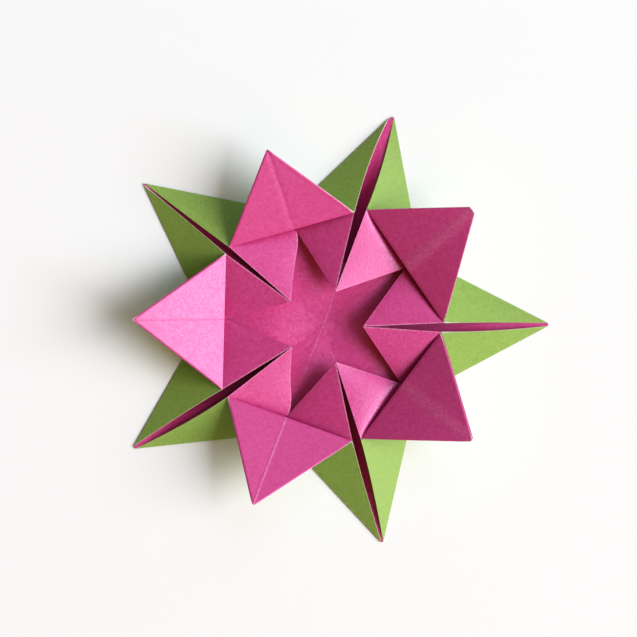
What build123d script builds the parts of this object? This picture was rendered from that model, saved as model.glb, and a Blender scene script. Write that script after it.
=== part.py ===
from build123d import *
import os

# A five-pointed star folded from one uncut pentagon of two-coloured paper.
# The origin is the middle of the underside, +Z is up, and point 0 looks along +X.
# Lengths are in millimetres, turns in degrees.

# The paper
sheet = 0.2  # thickness of the paper as it lies in the folds, measured upwards

# Reaches from the middle of the star, measured flat on the table
tip_reach = 44.6  # outer end of a green point
lip_reach = 34.0  # place where the open edges of a green point bow apart most
waist_reach = 23.6  # inward corner of the outline, hidden under a petal
petal_reach = 37.4  # free tip of a petal, before its end is blunted
corner_reach = 24.0  # corner where petal, slot and green flap meet
slot_end_reach = 7.8  # inner end of a slot, at the edge of the pit
hem_reach = 13.0  # lower end of the layer turned under at the edge of the pit

# Heights of the paper's lower face above the table
corner_height = 5.3  # lips of the slot at the petal corners
lip_height = 2.7  # lips of the slot where they bow apart most
slot_end_height = 5.4  # inner end of a slot
foot_height = 1.9  # low corner between the roofs over two slots
hinge_height = 4.8  # middle of the fold that a petal rises from
petal_height = 12.6  # free tip of a petal
hem_height = 0.5  # lower end of the layer turned under at the edge of the pit

# Widths of a slot, between the edges of the flaps on its two sides
slot_gap = 1.8  # at the petal corners
lip_gap = 1.8  # where the edges bow apart most
tip_gap = 1.0  # at the blunt end of the point

# Hand folding leaves each point and petal a little off the regular star
points = 5
point_step = 360 / points
left, right = 1, -1
tip_turns = (0.0, 0.0, -2.0, -3.0, -3.0)
slot_turns = (-1.4, 0.2, -1.5, -1.3, -2.3)
slot_end_turns = (-3.0, -1.1, 1.5, -1.1, -0.5)
petal_turns = (1.7, 0.0, -1.5, -3.5, -2.0)
tip_reach_shares = (1.013, 0.98, 1.03, 1.02, 1.018)
petal_reach_shares = (1.017, 0.975, 1.015, 1.03, 1.004)
petal_end_shares = (0.035, 0.01, 0.01, 0.02, 0.03)
fold_shares = (0.49, 0.47, 0.48, 0.47, 0.51)
slot_end_reach_shares = (1.0, 0.89, 1.03, 1.0, 1.01)
slot_gap_shares = (0.97, 1.17, 0.8, 1.0, 0.95)
lip_gap_shares = (0.9, 1.45, 0.45, 1.03, 0.83)
tip_gap_shares = (0.6, 1.0, 0.3, 0.6, 0.4)
corner_reach_shares = {left: (1.0, 0.967, 1.008, 1.004, 1.0), right: (0.98, 1.02, 1.02, 1.004, 1.0)}
lip_height_shares = {left: (0.6, 1.0, 1.0, 0.9, 0.95), right: (1.05, 0.55, 0.95, 1.0, 1.0)}


def place(reach, turn, height):
    """A point at a flat distance from the middle, a turn from +X and a height."""
    return Vector(reach, 0, height).rotate(Axis.Z, turn)


def beside(middle, turn, shift):
    """A point moved sideways, square to the direction of the turn."""
    return middle + Vector(0, shift, 0).rotate(Axis.Z, turn)


def folded_panel(*corners):
    """One flat panel of the sheet between the corners of its lower face, thickened upwards."""
    first, second, third = corners[:3]
    along = second - first
    panel_plane = Plane(origin=first, x_dir=along, z_dir=along.cross(third - first))
    with BuildPart() as panel:
        with BuildSketch(panel_plane):
            with BuildLine():
                Polyline(*[panel_plane.to_local_coords(corner) for corner in corners], close=True)
            make_face()
        extrude(amount=sheet, dir=(0, 0, 1))
    return panel.part


# Corners of the folds along every slot, on its left and right side
tips, lips, corners = {}, {}, {}
slot_ends, hems = [], []
for point in range(points):
    tip_turn = point * point_step + tip_turns[point]
    slot_turn = point * point_step + slot_turns[point]
    lip_turn = (tip_turn + slot_turn) / 2
    slot_end_turn = point * point_step + slot_end_turns[point]
    slot_ends.append(place(slot_end_reach * slot_end_reach_shares[point], slot_end_turn, slot_end_height))
    hems.append(place(hem_reach, slot_turn, hem_height))
    for side in (left, right):
        tip = place(tip_reach * tip_reach_shares[point], tip_turn, 0)
        lip = place(lip_reach, lip_turn, lip_height * lip_height_shares[side][point])
        corner = place(corner_reach * corner_reach_shares[side][point], slot_turn, corner_height)
        tips[point, side] = beside(tip, tip_turn, side * tip_gap * tip_gap_shares[point] / 2)
        lips[point, side] = beside(lip, lip_turn, side * lip_gap * lip_gap_shares[point] / 2)
        corners[point, side] = beside(corner, slot_turn, side * slot_gap * slot_gap_shares[point] / 2)

# Panels on the two sides of every petal
panels = []
outline = []
for petal in range(points):
    following = (petal + 1) % points
    fold_way = corners[following, right] - corners[petal, left]
    fold = corners[petal, left] + fold_way * fold_shares[petal]
    waist = Vector(fold.X, fold.Y, 0).normalized() * waist_reach
    foot = Vector(fold.X, fold.Y, foot_height)
    hinge = Vector(fold.X, fold.Y, hinge_height)
    petal_turn = (petal + 1 / 2) * point_step + petal_turns[petal]
    petal_tip = place(petal_reach * petal_reach_shares[petal], petal_turn, petal_height)
    end_middle = petal_tip + (hinge - petal_tip) * petal_end_shares[petal]
    outline += [tips[petal, right], tips[petal, left], waist]
    for point, side in ((petal, left), (following, right)):
        tip, lip, corner = tips[point, side], lips[point, side], corners[point, side]
        end_corner = petal_tip + (corner - petal_tip) * petal_end_shares[petal]
        # Green flap folded over the point, and its hidden part behind the petal
        panels.append(folded_panel(tip, waist, lip))
        panels.append(folded_panel(lip, waist, corner))
        panels.append(folded_panel(waist, hinge, corner))
        # Half of the petal, which rises outwards from its fold to a blunt end
        panels.append(folded_panel(corner, hinge, end_middle, end_corner))
        # Roof beside the slot: the inner triangle over the pit, and its hidden part under the petal
        panels.append(folded_panel(corner, foot, slot_ends[point]))
        panels.append(folded_panel(corner, foot, waist))
        # Layer turned under at the edge of the pit, down towards the floor
        panels.append(folded_panel(slot_ends[point], foot, hems[point]))

# The folded sheet: its floor in the outline of the star, and the panels folded over it
with BuildPart() as folded_star:
    with BuildSketch():
        with BuildLine():
            Polyline(*[(corner.X, corner.Y) for corner in outline], close=True)
        make_face()
    extrude(amount=sheet)
    add(panels)

os.makedirs("parts", exist_ok=True)
folded_star.part.label = "folded_star"
export_step(folded_star.part, "parts/folded_star.step")
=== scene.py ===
import bpy
import numpy as np
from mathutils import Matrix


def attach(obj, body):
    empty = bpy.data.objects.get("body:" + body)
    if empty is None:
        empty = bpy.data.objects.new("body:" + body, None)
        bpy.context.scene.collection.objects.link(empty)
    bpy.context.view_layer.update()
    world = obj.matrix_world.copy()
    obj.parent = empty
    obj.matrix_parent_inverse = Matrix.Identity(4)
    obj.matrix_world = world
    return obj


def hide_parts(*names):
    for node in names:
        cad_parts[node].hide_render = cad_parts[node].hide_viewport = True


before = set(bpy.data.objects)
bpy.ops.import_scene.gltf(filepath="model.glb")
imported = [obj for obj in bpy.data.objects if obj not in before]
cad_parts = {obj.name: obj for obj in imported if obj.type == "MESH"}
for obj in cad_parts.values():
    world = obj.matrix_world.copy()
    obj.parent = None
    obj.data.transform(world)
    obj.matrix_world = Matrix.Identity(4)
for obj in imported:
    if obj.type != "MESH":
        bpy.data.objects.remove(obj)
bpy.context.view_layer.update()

# Floor of the star
# The middle of one uncut pentagon of paper, pink above and green below, pressed down on the table.
# It ends at the folded outline, is dished in the pit, bulges under the slots and keeps its old creases.
paper_thickness = 0.00014
paper_lift = 0.0001  # middle of the paper above its lowest face
tip_reach = 0.0446
tip_gap = 0.0010
tip_reach_shares = np.array((1.013, 0.98, 1.03, 1.02, 1.018))  # point by point, counter-clockwise from +X
tip_gap_shares = np.array((0.6, 1.0, 0.3, 0.6, 0.4))
corner_reach = 0.0240
corner_height = 0.0053
left_corner_reach_shares = np.array((1.0, 0.967, 1.008, 1.004, 1.0))
right_corner_reach_shares = np.array((0.98, 1.02, 1.02, 1.004, 1.0))
slot_gap = 0.0018
slot_gap_shares = np.array((0.97, 1.17, 0.8, 1.0, 0.95))
fold_shares = np.array((0.49, 0.47, 0.48, 0.47, 0.51))[:, None]
waist_reach = 0.0236
fifth = 72.0
fifths = np.arange(5) * fifth
tip_turns = fifths + (0.0, 0.0, -2.0, -3.0, -3.0)
slot_turns = fifths + (-1.4, 0.2, -1.5, -1.3, -2.3)


def ring(reach, turns, height):
    """Points at a flat reach from the middle, at turns in degrees from +X and at a height."""
    angles = np.radians(turns)
    level = np.broadcast_to(height + paper_lift, angles.shape)
    return np.stack([reach * np.cos(angles), reach * np.sin(angles), level], axis=1)


def beside(middles, turns, shifts):
    """Points moved sideways by their shifts, square to the direction of their turns."""
    angles = np.radians(turns)
    square = np.stack([-np.sin(angles), np.cos(angles), np.zeros_like(angles)], axis=1)
    return middles + shifts[:, None] * square


def at_height(points, height):
    """The same points, all brought to one height."""
    return np.column_stack([points[:, :2], np.full(len(points), height + paper_lift)])


def straight(start, end, shares):
    """Edges of panels: points at shares of the straight way from each start to its end."""
    return start[:, None, :] + (end - start)[:, None, :] * shares[None, :, None]


def ruled(first_edge, second_edge, shares):
    """Panels of straight lines laid from every point of one edge to its partner on another edge."""
    way = second_edge - first_edge
    return first_edge[:, :, None, :] + way[:, :, None, :] * shares[None, None, :, None]


def line_distance(start, end, points):
    """Distance of all points of each panel from the straight line through two of its corners."""
    along = (end - start) / np.linalg.norm(end - start, axis=1, keepdims=True)
    offset = points - start[:, None, None, :]
    return np.linalg.norm(np.cross(offset, along[:, None, None, :]), axis=3)


def folded_sheet(name, points, crease, wear_and_highlight, edge, materials):
    """A mesh of thin paper on grids of points, wound to face up and thickened about its middle.

    Every cell of a grid is cut into two triangles, and points that fall together are welded.
    The crease mark is 0 on a crease and 1 where its pale band ends; the next mark says from 0 to 1 how
    pale it is (rubbing and a painted highlight on the fold), and the edge mark is 0 on a raw edge and 1
    where its white (white core and painted highlight) no longer shows.
    """
    panels, rows, columns = points.shape[:3]
    number = np.arange(panels * rows * columns).reshape(panels, rows, columns)
    here, along = number[:, :-1, :-1], number[:, 1:, :-1]
    across, beyond = number[:, :-1, 1:], number[:, 1:, 1:]
    halves = np.stack([np.stack([here, along, beyond], -1), np.stack([here, beyond, across], -1)], -2)
    faces = halves.reshape(panels, -1, 3)
    flat = points.reshape(-1, 3)
    first, second, third = (flat[faces[:, :, k]] for k in range(3))
    rise = np.cross(second - first, third - first)[:, :, 2].sum(axis=1)
    faces = np.where(rise[:, None, None] < 0, faces[:, :, ::-1], faces).reshape(-1, 3)
    weld_step = 1e-7
    panel_of_point = np.repeat(np.arange(panels), rows * columns)
    places = np.column_stack([np.round(flat / weld_step), panel_of_point])
    kept, welded = np.unique(places, axis=0, return_index=True, return_inverse=True)[1:]
    faces = welded.reshape(-1)[faces]
    whole = (faces != np.roll(faces, 1, axis=1)).all(axis=1)
    mesh = bpy.data.meshes.new(name)
    mesh.from_pydata(flat[kept].tolist(), [], faces[whole].tolist())
    for label, mark in (("crease", crease), ("wear_and_highlight", wear_and_highlight), ("edge", edge)):
        values = np.broadcast_to(mark, (panels, rows, columns)).reshape(-1)[kept]
        attribute = mesh.attributes.new(label, "FLOAT", "POINT")
        attribute.data.foreach_set("value", values.astype(np.float32))
    edge_of_corner = np.empty(len(mesh.loops), dtype=np.int32)
    mesh.loops.foreach_get("edge_index", edge_of_corner)
    on_rim = np.bincount(edge_of_corner, minlength=len(mesh.edges)) == 1
    mesh.attributes.new("sharp_edge", "BOOLEAN", "EDGE").data.foreach_set("value", on_rim)
    mesh.polygons.foreach_set("use_smooth", np.ones(len(mesh.polygons), dtype=bool))
    for material in materials:
        mesh.materials.append(material)
    piece = bpy.data.objects.new(name, mesh)
    bpy.context.scene.collection.objects.link(piece)
    thickness = piece.modifiers.new("paper thickness", "SOLIDIFY")
    thickness.thickness = paper_thickness
    thickness.offset = 0.0
    thickness.material_offset = 1
    thickness.material_offset_rim = 2
    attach(piece, "root")
    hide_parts("folded_star")


def fibre_group():
    """Node group for the paper's look: a fine noise for fibre, mixed with a coarser one for its tone."""
    group = bpy.data.node_groups.new("paper fibre", "ShaderNodeTree")
    group.interface.new_socket("Place", in_out="INPUT", socket_type="NodeSocketVector")
    group.interface.new_socket("Fibre", in_out="OUTPUT", socket_type="NodeSocketFloat")
    group.interface.new_socket("Tone", in_out="OUTPUT", socket_type="NodeSocketFloat")
    nodes, links = group.nodes, group.links
    start = nodes.new("NodeGroupInput")
    end = nodes.new("NodeGroupOutput")
    fibre = nodes.new("ShaderNodeTexNoise")
    fibre.inputs["Scale"].default_value = 2000.0
    fibre.inputs["Detail"].default_value = 3.0
    fibre.inputs["Roughness"].default_value = 0.6
    fibre.inputs["Distortion"].default_value = 0.4
    cloud = nodes.new("ShaderNodeTexNoise")
    cloud.inputs["Scale"].default_value = 900.0
    cloud.inputs["Detail"].default_value = 5.0
    cloud.inputs["Roughness"].default_value = 0.65
    links.new(start.outputs["Place"], fibre.inputs["Vector"])
    links.new(start.outputs["Place"], cloud.inputs["Vector"])
    links.new(fibre.outputs["Fac"], end.inputs["Fibre"])
    tone = nodes.new("ShaderNodeMix")
    tone.inputs["Factor"].default_value = 0.4
    links.new(fibre.outputs["Fac"], tone.inputs["A"])
    links.new(cloud.outputs["Fac"], tone.inputs["B"])
    links.new(tone.outputs["Result"], end.inputs["Tone"])
    return group


def wear_and_highlight_group():
    """Node group for rubbing and painted fold highlights: 1 where its mark is 0, falling smoothly to none
    at 1, broken by the fibre.
    """
    group = bpy.data.node_groups.new("paper wear", "ShaderNodeTree")
    group.interface.new_socket("Mark", in_out="INPUT", socket_type="NodeSocketFloat")
    group.interface.new_socket("Fibre", in_out="INPUT", socket_type="NodeSocketFloat")
    group.interface.new_socket("Paled", in_out="OUTPUT", socket_type="NodeSocketFloat")
    nodes, links = group.nodes, group.links
    start = nodes.new("NodeGroupInput")
    end = nodes.new("NodeGroupOutput")
    fall = nodes.new("ShaderNodeMapRange")
    fall.interpolation_type = "SMOOTHSTEP"
    fall.inputs["To Min"].default_value = 1.0
    fall.inputs["To Max"].default_value = 0.0
    links.new(start.outputs["Mark"], fall.inputs["Value"])
    broken = nodes.new("ShaderNodeMapRange")
    broken.inputs["From Min"].default_value = 0.25
    broken.inputs["From Max"].default_value = 0.55
    links.new(start.outputs["Fibre"], broken.inputs["Value"])
    paled = nodes.new("ShaderNodeMath")
    paled.operation = "MULTIPLY"
    links.new(fall.outputs["Result"], paled.inputs[0])
    links.new(broken.outputs["Result"], paled.inputs[1])
    links.new(paled.outputs["Value"], end.inputs["Paled"])
    return group


paper_fibre = fibre_group()
paper_wear_and_highlight = wear_and_highlight_group()
# Near-white for edges: the white core of raw paper, and a painted highlight where an edge or rounded fold
# faces the window.
white_core_and_edge_light = (0.86, 0.80, 0.78, 1.0)


def paper_face(name, deep, pale, rubbed_and_highlit, sheen, sheen_tint, smoothest, roughest):
    """Satin coloured paper: fibre between a deep and a pale tone; paler creases from rubbing and a painted
    highlight on the folds; white edges from the white core and a painted highlight.
    """
    material = bpy.data.materials.new(name)
    material.use_nodes = True
    nodes, links = material.node_tree.nodes, material.node_tree.links
    shader = nodes["Principled BSDF"]
    shader.inputs["Specular IOR Level"].default_value = sheen
    shader.inputs["Specular Tint"].default_value = (*sheen_tint, 1.0)
    place = nodes.new("ShaderNodeTexCoord")
    look = nodes.new("ShaderNodeGroup")
    look.node_tree = paper_fibre
    links.new(place.outputs["Object"], look.inputs["Place"])
    tone = nodes.new("ShaderNodeMapRange")
    tone.inputs["From Min"].default_value = 0.34
    tone.inputs["From Max"].default_value = 0.66
    links.new(look.outputs["Tone"], tone.inputs["Value"])
    colour = nodes.new("ShaderNodeMix")
    colour.data_type = "RGBA"
    colour.inputs["A"].default_value = (*deep, 1.0)
    colour.inputs["B"].default_value = (*pale, 1.0)
    links.new(tone.outputs["Result"], colour.inputs["Factor"])
    marks = {}
    for label in ("crease", "wear_and_highlight", "edge"):
        marks[label] = nodes.new("ShaderNodeAttribute")
        marks[label].attribute_name = label
    paled = {}
    for label in ("crease", "edge"):
        paled[label] = nodes.new("ShaderNodeGroup")
        paled[label].node_tree = paper_wear_and_highlight
        links.new(marks[label].outputs["Fac"], paled[label].inputs["Mark"])
        links.new(look.outputs["Fibre"], paled[label].inputs["Fibre"])
    # Creases are painted paler: partly rubbing, partly a painted highlight on the rounded folds.
    strength = nodes.new("ShaderNodeMath")
    strength.operation = "MULTIPLY"
    links.new(paled["crease"].outputs["Paled"], strength.inputs[0])
    links.new(marks["wear_and_highlight"].outputs["Fac"], strength.inputs[1])
    creased = nodes.new("ShaderNodeMix")
    creased.data_type = "RGBA"
    creased.inputs["B"].default_value = (*rubbed_and_highlit, 1.0)
    links.new(strength.outputs["Value"], creased.inputs["Factor"])
    links.new(colour.outputs["Result"], creased.inputs["A"])
    # Edges painted near-white: the white core of raw edges, and a painted highlight where an edge faces
    # the window.
    whitened = nodes.new("ShaderNodeMix")
    whitened.data_type = "RGBA"
    whitened.inputs["B"].default_value = white_core_and_edge_light
    links.new(paled["edge"].outputs["Paled"], whitened.inputs["Factor"])
    links.new(creased.outputs["Result"], whitened.inputs["A"])
    links.new(whitened.outputs["Result"], shader.inputs["Base Color"])
    satin = nodes.new("ShaderNodeMapRange")
    satin.inputs["From Min"].default_value = 0.42
    satin.inputs["From Max"].default_value = 0.58
    satin.inputs["To Min"].default_value = smoothest
    satin.inputs["To Max"].default_value = roughest
    links.new(look.outputs["Tone"], satin.inputs["Value"])
    links.new(satin.outputs["Result"], shader.inputs["Roughness"])
    relief = nodes.new("ShaderNodeBump")
    relief.inputs["Strength"].default_value = 0.8
    relief.inputs["Distance"].default_value = 0.00005
    links.new(look.outputs["Fibre"], relief.inputs["Height"])
    links.new(relief.outputs["Normal"], shader.inputs["Normal"])
    return material


def paper_rim(name, folded):
    """Edge of the paper: the colour of the fold, or near-white where the edge is raw (its white core) or
    carries a painted highlight.
    """
    material = bpy.data.materials.new(name)
    material.use_nodes = True
    nodes, links = material.node_tree.nodes, material.node_tree.links
    shader = nodes["Principled BSDF"]
    shader.inputs["Roughness"].default_value = 0.7
    edge = nodes.new("ShaderNodeAttribute")
    edge.attribute_name = "edge"
    colour = nodes.new("ShaderNodeMix")
    colour.data_type = "RGBA"
    colour.inputs["A"].default_value = white_core_and_edge_light
    colour.inputs["B"].default_value = (*folded, 1.0)
    links.new(edge.outputs["Fac"], colour.inputs["Factor"])
    links.new(colour.outputs["Result"], shader.inputs["Base Color"])
    return material


pink_face = paper_face(
    "pink paper", deep=(0.59, 0.040, 0.20), pale=(0.73, 0.074, 0.31),
    rubbed_and_highlit=(0.92, 0.44, 0.65), sheen=1.0, sheen_tint=(0.9, 0.66, 1.0), smoothest=0.32, roughest=0.46,
)
green_face = paper_face(
    "green paper", deep=(0.225, 0.37, 0.052), pale=(0.315, 0.49, 0.085),
    rubbed_and_highlit=(0.56, 0.68, 0.32), sheen=0.7, sheen_tint=(0.9, 1.0, 0.95), smoothest=0.58, roughest=0.72,
)
pink_rim = paper_rim("pink paper edge", folded=(0.50, 0.045, 0.19))
green_rim = paper_rim("green paper edge", folded=(0.28, 0.44, 0.08))
pink_side_up = (pink_face, green_face, pink_rim)
green_side_up = (green_face, pink_face, green_rim)

tip_slants = np.array((0.0, 0.0005, 0.0, 0.0, 0.0))  # one blunt tip is cut off at a slant
left_tip_middles = ring(tip_reach * tip_reach_shares - tip_slants, tip_turns, 0.0)
right_tip_middles = ring(tip_reach * tip_reach_shares + tip_slants, tip_turns, 0.0)
left_tips = beside(left_tip_middles, tip_turns, tip_gap * tip_gap_shares / 2)
right_tips = beside(right_tip_middles, tip_turns, -tip_gap * tip_gap_shares / 2)
tip_middles = (left_tips + right_tips) / 2
left_corner_middles = ring(corner_reach * left_corner_reach_shares, slot_turns, corner_height)
right_corner_middles = ring(corner_reach * right_corner_reach_shares, slot_turns, corner_height)
left_corners = beside(left_corner_middles, slot_turns, slot_gap * slot_gap_shares / 2)
right_corners = beside(right_corner_middles, slot_turns, -slot_gap * slot_gap_shares / 2)
next_right_corners = np.roll(right_corners, -1, axis=0)
fold_middles = left_corners + (next_right_corners - left_corners) * fold_shares
fold_turns = np.degrees(np.arctan2(fold_middles[:, 1], fold_middles[:, 0]))
waists = ring(waist_reach, fold_turns, 0.0)

outline_corners = np.stack([right_tips, tip_middles, left_tips, waists], axis=1).reshape(-1, 3)
outline_steps = np.linspace(0, 1, 12, endpoint=False)
outline = straight(outline_corners, np.roll(outline_corners, -1, axis=0), outline_steps).reshape(1, -1, 3)
outline = np.concatenate([outline, outline[:, :1]], axis=1)
floor_middle = np.broadcast_to((0.0, 0.0, paper_lift), outline.shape)
floor_points = ruled(floor_middle, outline, np.linspace(0, 1, 60))
floor_crease_width = 0.00018
opposite_waist = waists[3:4]  # across the middle from the tip of the second point
crease_ends = np.concatenate([tip_middles, opposite_waist])
crease_distances = np.concatenate(
    [line_distance(end[None], floor_middle[:, 0], floor_points) for end in crease_ends]
)
same_side = np.stack([(floor_points * end).sum(axis=3)[0] > 0 for end in crease_ends])
far_off = 1.0  # a distance well outside the star
crease_distances = np.where(same_side, crease_distances, far_off)
# Floor creases are painted paler: partly rubbing, partly a painted highlight on the ridge of each crease,
# the one through the middle most.
floor_crease_rub_and_highlight = np.array((0.05, 0.35, 0.05, 0.05, 0.08, 0.4))
floor_rub_and_highlight = floor_crease_rub_and_highlight[np.argmin(crease_distances, axis=0)]
floor_crease = crease_distances.min(axis=0) / floor_crease_width
dish_reach = 0.0220  # the dish is highest halfway to here
dish_at_points = 0.00025
dish_at_petals = np.array((0.0006, 0.0005, 0.0009, 0.0006, 0.0006))
floor_reach = np.hypot(floor_points[..., 0], floor_points[..., 1])
floor_turns = np.degrees(np.arctan2(floor_points[..., 1], floor_points[..., 0])) % 360
sector = (floor_turns // fifth).astype(int) % len(fifths)
off_petal = np.abs(floor_turns % fifth - fifth / 2) / (fifth / 2)
dish_height = dish_at_points + (dish_at_petals[sector] - dish_at_points) * (1 - off_petal)
dish_swell = np.sin(np.pi * np.clip(floor_reach / dish_reach, 0, 1)) ** 2
floor_points[..., 2] += dish_height * dish_swell
slot_swells = np.array((0.0004, 0.0018, 0.0012, 0.0014, 0.0014))  # the sheet bulges up under the slots
swell_shifts = np.array((0.0, -0.0012, -0.0006, 0.0009, 0.0009))  # off the middle of the slot, to the left
swell_width, swell_start, swell_end = 0.0015, 0.012, 0.038
swell_ways = (tip_middles / np.linalg.norm(tip_middles[:, :2], axis=1, keepdims=True))[:, :2]
along_slots = floor_points[..., :2] @ swell_ways.T
off_slots = floor_points[..., 1:2] * swell_ways[:, 0] - floor_points[..., 0:1] * swell_ways[:, 1]
swell_rise = np.sin(np.pi * np.clip((along_slots - swell_start) / (swell_end - swell_start), 0, 1))
swell_across = np.exp(-((off_slots - swell_shifts) / swell_width) ** 2)
floor_points[..., 2] += (slot_swells * swell_rise * swell_across).sum(axis=3)
no_edge = 1.0
pit_reach, fade_reach = 0.0070, 0.0060  # the pale crease lines, rubbing and painted highlight, show in the pit only and fade outside it
floor_rub_and_highlight = floor_rub_and_highlight * np.exp(-np.maximum(floor_reach - pit_reach, 0) / fade_reach)
floor_rub_and_highlight = np.where((floor_reach > pit_reach) & (floor_points[..., 1] > 0), 0.0, floor_rub_and_highlight)
folded_sheet("star_floor", floor_points, floor_crease, floor_rub_and_highlight, no_edge, pink_side_up)

# Green points
# The two sides of every corner of the sheet, folded over it so that the green back shows.
# Their raw edges bow a little apart along the point and leave a slot; some lie lower than others.
lip_reach = 0.0340
lip_height = 0.0027
lip_gap = 0.0018
lip_gap_shares = np.array((0.9, 1.45, 0.45, 1.03, 0.83))
left_lip_height_shares = np.array((0.6, 1.0, 1.0, 0.9, 0.95))
right_lip_height_shares = np.array((1.05, 0.55, 0.95, 1.0, 1.0))
lip_turns = (tip_turns + slot_turns) / 2
left_lip_middles = ring(lip_reach, lip_turns, lip_height * left_lip_height_shares)
right_lip_middles = ring(lip_reach, lip_turns, lip_height * right_lip_height_shares)
left_lips = beside(left_lip_middles, lip_turns, lip_gap * lip_gap_shares / 2)
right_lips = beside(right_lip_middles, lip_turns, -lip_gap * lip_gap_shares / 2)


def bowed(start, middle, end, shares):
    """Edges on a smooth curve of the second degree through a start, a middle and an end point."""
    at_start = (1 - shares) * (1 - 2 * shares)
    at_middle = 4 * shares * (1 - shares)
    at_end = shares * (2 * shares - 1)
    weights = np.stack([at_start, at_middle, at_end])
    return np.einsum("ks,pkd->psd", weights, np.stack([start, middle, end], axis=1))


flap_tips = np.concatenate([left_tips, np.roll(right_tips, -1, axis=0)])
flap_lips = np.concatenate([left_lips, np.roll(right_lips, -1, axis=0)])
flap_corners = np.concatenate([left_corners, next_right_corners])
flap_waists = np.tile(waists, (2, 1))
flap_along = np.linspace(0, 1, 60)
lip_gather = 1.4  # the mesh is finer towards the lip
flap_across = np.linspace(0, 1, 40) ** lip_gather
flap_edges = bowed(flap_tips, flap_lips, flap_corners, flap_along)
flap_folds = straight(flap_tips, flap_waists, flap_along)
flap_points = ruled(flap_edges, flap_folds, flap_across)
flap_widths = np.linalg.norm(flap_folds - flap_edges, axis=2)[:, :, None]
raw_edge_width = 0.00025
flap_fold_width = 0.0003
# White along the lips: the white core of the raw edges, and a painted highlight where a lip faces the
# window, so one side of a slot is whiter than the other.
left_whites = np.array((0.40, 0.50, 0.25, 0.35, 0.20))
right_whites = np.array((0.50, 0.15, 0.30, 0.45, 0.30))
left_tip_whites = np.array((0.1, 0.2, 0.9, 0.2, 0.1))
right_tip_whites = np.array((0.2, 0.1, 0.2, 0.2, 0.1))
left_corner_whites = np.array((0.8, 0.2, 0.5, 0.2, 0.2))
right_corner_whites = np.array((0.8, 0.1, 0.3, 0.2, 0.5))
tip_white_share, corner_white_share = 0.15, 0.08
lip_whites = np.concatenate([left_whites, np.roll(right_whites, -1)])[:, None]
tip_whites = np.concatenate([left_tip_whites, np.roll(right_tip_whites, -1)])[:, None]
corner_whites = np.concatenate([left_corner_whites, np.roll(right_corner_whites, -1)])[:, None]
near_flap_tip = np.exp(-flap_along / tip_white_share)
near_flap_corner = np.exp((flap_along - 1) / corner_white_share)
lip_white = lip_whites + tip_whites * near_flap_tip + corner_whites * near_flap_corner
widened = 1 + corner_whites * near_flap_corner + tip_whites * near_flap_tip
raw_widths = raw_edge_width * widened[:, :, None]
lip_mark = np.maximum(flap_widths * flap_across / raw_widths + 1 - lip_white[:, :, None], 0)
flap_crease = flap_widths * (1 - flap_across) / flap_fold_width
flap_wear = 0.15
folded_sheet("green_points", flap_points, flap_crease, flap_wear, lip_mark, green_side_up)

# Turned-up paper behind the petals
# The green flaps go on under the petals and climb to the folds from which the petals hang.
# They are part of the same sheet and show only from outside, below the petals.
hinge_height = 0.0048
hinges = at_height(fold_middles, hinge_height)
tuck_out, tuck_up = 0.0003, 0.00007  # the turned-up paper ends against the underside of its petal
tuck = np.tile(ring(tuck_out, fold_turns, tuck_up - paper_lift), (2, 1))
climb_hinges = np.tile(hinges, (2, 1)) + tuck
coarse = np.linspace(0, 1, 16)
climb_edges = straight(flap_corners + tuck, flap_waists, coarse)
climb_points = ruled(climb_edges, straight(climb_hinges, climb_hinges, coarse), coarse)
climb_crease = line_distance(flap_corners, flap_waists, climb_points) / flap_fold_width
climb_wear = 0.4
folded_sheet("petal_supports", climb_points, climb_crease, climb_wear, no_edge, green_side_up)

# Roofs beside the slots
# Pink layers that slope from the lips of each slot down to the low corners between the points.
# Their inner triangles overhang the pit, and the rest runs on under the petals to the floor.
slot_end_reach = 0.0078
slot_end_reach_shares = np.array((1.0, 0.89, 1.03, 1.0, 1.01))
slot_end_turns = fifths + (-3.0, -1.1, 1.5, -1.1, -0.5)
slot_end_height = 0.0054
foot_height = 0.0019
left_bulges = np.array((0.0002, 0.0002, 0.0002, 0.0002, 0.0005))
right_bulges = np.array((0.0002, 0.0002, 0.0002, 0.0002, 0.0002))
left_coves = np.array((0.0003, 0.0, 0.0, 0.0, 0.0006))
right_coves = np.array((0.0004, 0.0, 0.0, 0.0, 0.0003))
cove_width = 0.0020
valleys = np.array((0.0008, 0.0003, 0.0, 0.0003, 0.0008))  # the same on both sides of a petal
valley_width, valley_start = 0.0004, 0.2
slot_ends = ring(slot_end_reach * slot_end_reach_shares, slot_end_turns, slot_end_height)
roof_ends = np.concatenate([slot_ends, np.roll(slot_ends, -1, axis=0)])
feet = at_height(fold_middles, foot_height)
roof_feet = np.tile(feet, (2, 1))
corner_gather, roof_gather = 1.6, 1.3  # the mesh is finer towards the petal corners and the slot
roof_along = np.linspace(0, 1, 50) ** corner_gather
roof_across = np.linspace(0, 1, 50) ** roof_gather
roof_lips = straight(flap_corners, roof_ends, roof_along)
roof_points = ruled(roof_lips, straight(roof_feet, roof_feet, roof_along), roof_across)
roof_swell = np.outer(roof_along * (1 - roof_along), roof_across * (1 - roof_across))
roof_coves = np.concatenate([left_coves, right_coves])[:, None, None]
to_petal = line_distance(flap_corners, roof_feet, roof_points)
roof_bulges = np.concatenate([left_bulges, right_bulges])[:, None, None]
swell_peak = 16  # brings the swell to 1 in the middle of the roof
roof_points[:, :, :, 2] += roof_bulges * swell_peak * roof_swell
roof_points[:, :, :, 2] += roof_coves * roof_across * np.exp(-to_petal / cove_width)
roof_valleys = np.tile(valleys, 2)[:, None, None]
below_lip = np.clip(roof_across / valley_start, 0, 1)
roof_points[:, :, :, 2] -= roof_valleys * below_lip * np.exp(-to_petal / valley_width)
slot_fold_width = 0.00035
pit_fold_width = 0.0002
slot_crease = line_distance(flap_corners, roof_ends, roof_points) / slot_fold_width
pit_crease = line_distance(roof_feet, roof_ends, roof_points) / pit_fold_width
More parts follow.
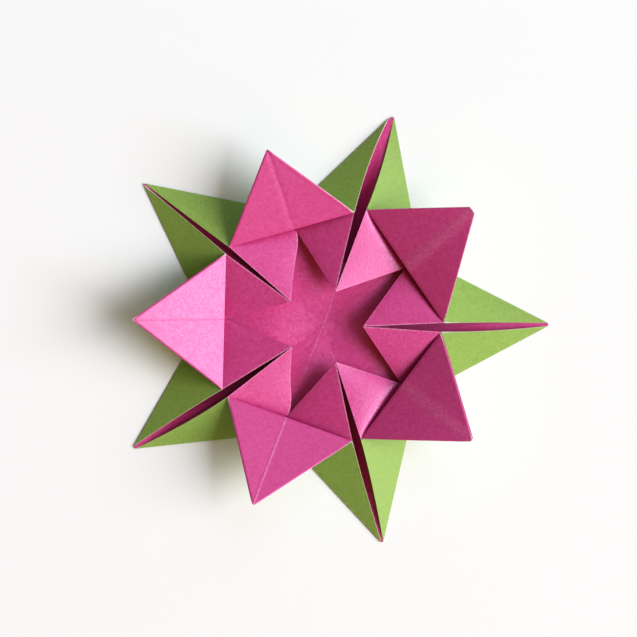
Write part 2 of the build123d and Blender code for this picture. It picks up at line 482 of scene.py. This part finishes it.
roof_crease = np.minimum(slot_crease, pit_crease)
left_kinks = np.array((0.0, 0.0, 0.0, 0.0007, 0.0))
right_kinks = np.array((0.0, 0.0006, 0.0, 0.0, 0.0))
kinks = np.concatenate([left_kinks, right_kinks])[:, None, None, None]
pit_edges = roof_feet - roof_ends
pit_way = np.column_stack([-pit_edges[:, 1], pit_edges[:, 0], np.zeros(len(pit_edges))])
pit_way *= np.sign((pit_way * (roof_feet - flap_corners)).sum(axis=1, keepdims=True))
pit_way /= np.linalg.norm(pit_way, axis=1, keepdims=True)
kink_peak = 12.2  # brings the fourth power of the way, times the rest of it, to 1 at its highest
kink_shape = np.outer(roof_along ** 3, kink_peak * roof_across ** 4 * (1 - roof_across))
roof_points += kinks * kink_shape[:, :, None] * pit_way[:, None, None, :]
# Painted highlight on the rounded folds of the roofs, along the slot lips and the pit edges: paler on the
# side that faces the window.
left_slot_highlights = np.array((0.6, 0.75, 0.75, 0.35, 0.10))
right_slot_highlights = np.array((0.10, 0.30, 0.75, 0.75, 0.5))
left_pit_highlights = np.array((0.3, 0.1, 0.05, 0.45, 0.3))
right_pit_highlights = np.array((0.4, 0.5, 0.05, 0.15, 0.2))
slot_highlights = np.concatenate([left_slot_highlights, right_slot_highlights])[:, None, None]
pit_highlights = np.concatenate([left_pit_highlights, right_pit_highlights])[:, None, None]
roof_fold_highlights = np.where(slot_crease < pit_crease, slot_highlights, pit_highlights)
folded_sheet("slot_roofs", roof_points, roof_crease, roof_fold_highlights, no_edge, pink_side_up)
skirt_edges = straight(flap_corners, roof_feet, coarse)
skirt_points = ruled(skirt_edges, straight(flap_waists, flap_waists, coarse), coarse)
skirt_crease = line_distance(flap_corners, roof_feet, skirt_points) / pit_fold_width
skirt_wear = 0.2
folded_sheet("roof_skirts", skirt_points, skirt_crease, skirt_wear, no_edge, pink_side_up)

# Layers under the slots
# Where a roof ends over the pit the sheet turns under and runs back out, low between the points.
# Only its pink face is seen, through the open slot.
hem_reach = 0.0130
hem_height = 0.0005
hems = ring(hem_reach, slot_turns, hem_height)
layer_along = np.linspace(0, 1, 40)
layer_ridges = straight(slot_ends, hems, layer_along)
right_feet = np.roll(feet, 1, axis=0)
layer_right = ruled(straight(right_feet, right_feet, layer_along), layer_ridges, coarse)
layer_left = ruled(layer_ridges, straight(feet, feet, layer_along), coarse)
layer_points = np.concatenate([layer_right[:, :, :-1], layer_left], axis=2)
layer_crease = line_distance(slot_ends, hems, layer_points) / pit_fold_width
both_sides_pink = (pink_face, pink_face, pink_rim)  # two layers of the sheet, back to back
layer_wear = 0.1
folded_sheet("slot_layers", layer_points, layer_crease, layer_wear, no_edge, both_sides_pink)

# Petals
# The tip of every flap, folded back outwards along a straight valley so that its pink side shows.
# Each bows a little, keeps the old middle crease of the sheet, rolls down at its edges and ends blunt.
petal_reach = 0.0374
petal_height = 0.0126
petal_reach_shares = np.array((1.017, 0.975, 1.015, 1.03, 1.004))  # each petal is left of its point
petal_end_shares = np.array((0.06, 0.01, 0.01, 0.02, 0.03))[:, None]
petal_turns = fifths + fifth / 2 + (1.7, 0.0, -1.5, -3.5, -2.0)
petal_tips = ring(petal_reach * petal_reach_shares, petal_turns, petal_height)
right_ends = petal_tips + (left_corners - petal_tips) * petal_end_shares
middle_ends = petal_tips + (hinges - petal_tips) * petal_end_shares
left_ends = petal_tips + (next_right_corners - petal_tips) * petal_end_shares


def gathered(count):
    """Shares from 0 to 1 that lie close together at both ends: three squares less two cubes."""
    even = np.linspace(0, 1, count)
    return even ** 2 * (3 - 2 * even)


petal_out = gathered(60)
half_across = gathered(61)
right_edges = straight(left_corners, right_ends, petal_out)
petal_middles = straight(hinges, middle_ends, petal_out)
left_edges = straight(next_right_corners, left_ends, petal_out)
right_halves = ruled(right_edges, petal_middles, half_across)
left_halves = ruled(petal_middles, left_edges, half_across)
petal_points = np.concatenate([right_halves, left_halves[:, :, 1:]], axis=2)
right_widths = np.linalg.norm(petal_middles - right_edges, axis=2)[:, :, None]
left_widths = np.linalg.norm(left_edges - petal_middles, axis=2)[:, :, None]
right_of_middle = right_widths * (1 - half_across)
left_of_middle = left_widths * half_across[1:]
off_middle = np.concatenate([right_of_middle, -left_of_middle], axis=2)
off_right_edge = right_widths * half_across
off_left_edge = left_widths * (1 - half_across[1:])
to_right = np.concatenate([off_right_edge, np.full_like(off_left_edge, far_off)], axis=2)
to_left = np.concatenate([np.full_like(off_right_edge, far_off), off_left_edge], axis=2)
petal_bow = 0.00035
bow_peak = 4  # brings the bow to 1 halfway out
right_rolls = np.array((0.0001, 0.0001, 0.0003, 0.0003, 0.0001))[:, None, None]
left_rolls = np.array((0.0001, 0.0003, 0.0003, 0.0001, 0.0001))[:, None, None]
roll_width = 0.00015
crease_shifts = np.array((0.0, -0.0005, 0.0, 0.0, 0.0))[:, None, None]  # off the middle, to the right
to_crease_line = np.abs(off_middle - crease_shifts * (1 - petal_out)[:, None])
ridge_heights = np.array((0.00012, -0.00006, -0.00004, 0.00005, 0.00010))[:, None, None]
ridge_widths = np.array((0.0012, 0.0005, 0.0002, 0.00025, 0.0012))[:, None, None]
layer_step = 0.00004
most_steps = 30  # this far past its edge a layer has ended
right_layers = np.array((0.0, 0.00005, 0.0, 0.0, 0.0))[:, None, None]
left_layers = np.array((0.00005, 0.0, 0.0, 0.0, -0.00012))[:, None, None]
right_layer_width = 0.0007
left_layer_widths = np.array((0.0007, 0.0007, 0.0007, 0.0007, 0.0003))[:, None, None]


def layer_edge(distance, width):
    """Share of a second layer along an edge: whole near the edge, none past the layer's width."""
    steps_past = np.clip((distance - width) / layer_step, -most_steps, most_steps)
    return 1 / (1 + np.exp(steps_past))


base_rolls = np.array((0.00015, 0.00015, 0.00002, 0.00015, 0.00015))[:, None, None]
base_roll_width = 0.00015
to_base = np.linalg.norm(middle_ends - hinges, axis=1)[:, None, None] * petal_out[:, None]
tip_droops = np.array((0.0, 0.0006, 0.0002, 0.0, 0.0))[:, None, None]
tip_share = 0.05
near_tip = np.clip((petal_out - 1) / tip_share + 1, 0, 1)[:, None]
petal_points[..., 2] += (petal_bow * bow_peak * petal_out * (1 - petal_out))[:, None]
petal_points[..., 2] -= base_rolls * np.exp(-to_base / base_roll_width)
petal_points[..., 2] -= tip_droops * near_tip ** 2
petal_points[..., 2] += ridge_heights * np.exp(-(to_crease_line / ridge_widths) ** 2)
raw_tip_share = 0.08
near_raw_tip = np.clip((petal_out - 1) / raw_tip_share + 1, 0, 1)[:, None]
corner_share = 0.1
near_corner = np.exp(-petal_out / corner_share)[:, None]
rolled = (1 - near_raw_tip) * (1 - near_corner)
petal_points[..., 2] -= right_rolls * rolled * np.exp(-to_right / roll_width)
petal_points[..., 2] -= left_rolls * rolled * np.exp(-to_left / roll_width)
petal_points[..., 2] += right_layers * layer_edge(to_right, right_layer_width)
petal_points[..., 2] += left_layers * layer_edge(to_left, left_layer_widths)
# The middle crease of each petal is painted paler: some rubbing, and a painted highlight where its ridge
# faces the window, broad on two petals.
crease_widths = np.array((0.0022, 0.0005, 0.0002, 0.0002, 0.0020))[:, None, None]
petal_crease_rub_and_highlight = np.array((0.13, 0.05, 0.0, 0.5, 0.10))[:, None, None]
petal_crease = to_crease_line / crease_widths
# White edge lines on the petals: the white core at raw tips and corners, and elsewhere a painted highlight
# where an edge faces the window, with a share per side.
pale_edge_width = 0.0004
right_whole = np.array((0.45, 0.55, 1.0, 0.7, 0.7))[:, None, None]
left_whole = np.array((0.55, 0.95, 1.0, 0.95, 0.72))[:, None, None]
right_corner_raw = np.array((0.7, 0.9, 0.9, 0.6, 0.4))[:, None, None]
left_corner_raw = np.array((0.3, 0.4, 0.5, 0.9, 0.7))[:, None, None]
tip_raw = np.array((0.0, 0.0, 1.0, 0.0, 0.5))[:, None, None]
left_insets = np.array((0.0, 0.0, 0.0, 0.0, 0.0003))[:, None, None]
to_left_pale = np.abs(to_left - left_insets)
right_mark = to_right / pale_edge_width + right_whole - right_corner_raw * near_corner
left_mark = to_left_pale / pale_edge_width + left_whole - left_corner_raw * near_corner
petal_edge = np.maximum(np.minimum(right_mark, left_mark) - tip_raw * near_raw_tip, 0)
folded_sheet("petals", petal_points, petal_crease, petal_crease_rub_and_highlight, petal_edge, pink_side_up)

# Table, light and camera
# A plain white table top with a low pale backdrop round it, under one large soft window on the right
# and two weak lamps, warm and cool. The camera looks straight down.
table_half = 3.0
table_level = -0.0002
square = ((-1, -1), (1, -1), (1, 1), (-1, 1))
table_corners = [(x * table_half, y * table_half, table_level) for x, y in square]
table_mesh = bpy.data.meshes.new("table_top")
table_mesh.from_pydata(table_corners, [], [(0, 1, 2, 3)])
table_top = bpy.data.objects.new("table_top", table_mesh)
bpy.context.scene.collection.objects.link(table_top)
table_paint = bpy.data.materials.new("white table")
table_paint.use_nodes = True
table_shader = table_paint.node_tree.nodes["Principled BSDF"]
table_shader.inputs["Base Color"].default_value = (0.968, 0.988, 1.0, 1.0)
table_shader.inputs["Roughness"].default_value = 0.8
table_shader.inputs["Specular IOR Level"].default_value = 0.2
table_mesh.materials.append(table_paint)


def backdrop_paint(name, colour):
    """Paint that shows its colour to the camera, in gloss and through glass, and lights nothing else."""
    material = bpy.data.materials.new(name)
    material.use_nodes = True
    nodes, links = material.node_tree.nodes, material.node_tree.links
    glow = nodes.new("ShaderNodeEmission")
    glow.inputs["Color"].default_value = (*colour, 1.0)
    rays = nodes.new("ShaderNodeLightPath")
    seen_or_mirrored = nodes.new("ShaderNodeMath")
    seen_or_mirrored.operation = "MAXIMUM"
    links.new(rays.outputs["Is Camera Ray"], seen_or_mirrored.inputs[0])
    links.new(rays.outputs["Is Glossy Ray"], seen_or_mirrored.inputs[1])
    shown = nodes.new("ShaderNodeMath")
    shown.operation = "MAXIMUM"
    links.new(seen_or_mirrored.outputs["Value"], shown.inputs[0])
    links.new(rays.outputs["Is Transmission Ray"], shown.inputs[1])
    links.new(shown.outputs["Value"], glow.inputs["Strength"])
    links.new(glow.outputs["Emission"], nodes["Material Output"].inputs["Surface"])
    return material


backdrop_height = 0.45
backdrop_mesh = bpy.data.meshes.new("backdrop")
backdrop_top = [(x, y, backdrop_height) for x, y, _ in table_corners]
backdrop_walls = [(0, 1, 5, 4), (1, 2, 6, 5), (2, 3, 7, 6), (3, 0, 4, 7)]
backdrop_mesh.from_pydata(table_corners + backdrop_top, [], backdrop_walls)
backdrop = bpy.data.objects.new("backdrop", backdrop_mesh)
bpy.context.scene.collection.objects.link(backdrop)
backdrop_mesh.materials.append(backdrop_paint("pale backdrop", colour=(0.9, 0.9, 0.9)))

world = bpy.data.worlds.new("pale room")
world.use_nodes = True
room_light = world.node_tree.nodes["Background"]
room_light.inputs["Color"].default_value = (1.0, 0.64, 0.18, 1.0)
room_light.inputs["Strength"].default_value = 0.13
bpy.context.scene.world = world


def soft_lamp(name, turn, rise, distance, size, power, colour):
    """A square area lamp that looks at the star from a turn round it and an angle above the table."""
    lamp = bpy.data.lights.new(name, "AREA")
    lamp.shape = "SQUARE"
    lamp.size = size
    lamp.energy = power
    lamp.color = colour
    holder = bpy.data.objects.new(name, lamp)
    turn, rise = np.radians(turn), np.radians(rise)
    flat_distance = distance * np.cos(rise)
    holder.location = (flat_distance * np.cos(turn), flat_distance * np.sin(turn), distance * np.sin(rise))
    holder.rotation_euler = (0.0, np.pi / 2 - rise, turn)
    bpy.context.scene.collection.objects.link(holder)


soft_lamp("window", turn=-6.0, rise=39.0, distance=5.0, size=3.7, power=365.0, colour=(0.94, 0.955, 1.0))
soft_lamp("warm lamp", turn=-60.0, rise=40.0, distance=2.0, size=1.6, power=6.5, colour=(1.0, 0.67, 0.4))
soft_lamp("cool lamp", turn=60.0, rise=40.0, distance=2.0, size=1.6, power=8.0, colour=(0.42, 0.70, 1.0))

camera_height = 0.6
camera_place = (-0.0011, 0.0012, camera_height)  # over the middle of the picture
frame_width = 0.1274  # width of the picture at the height of the folds
frame_level = 0.005
lens = bpy.data.cameras.new("camera")
lens.sensor_width = 36.0
lens.lens = lens.sensor_width * (camera_height - frame_level) / frame_width
lens.clip_start = 0.01
camera = bpy.data.objects.new("camera", lens)
camera.location = camera_place
bpy.context.scene.collection.objects.link(camera)
bpy.context.scene.camera = camera
bpy.context.scene.view_settings.view_transform = "Standard"
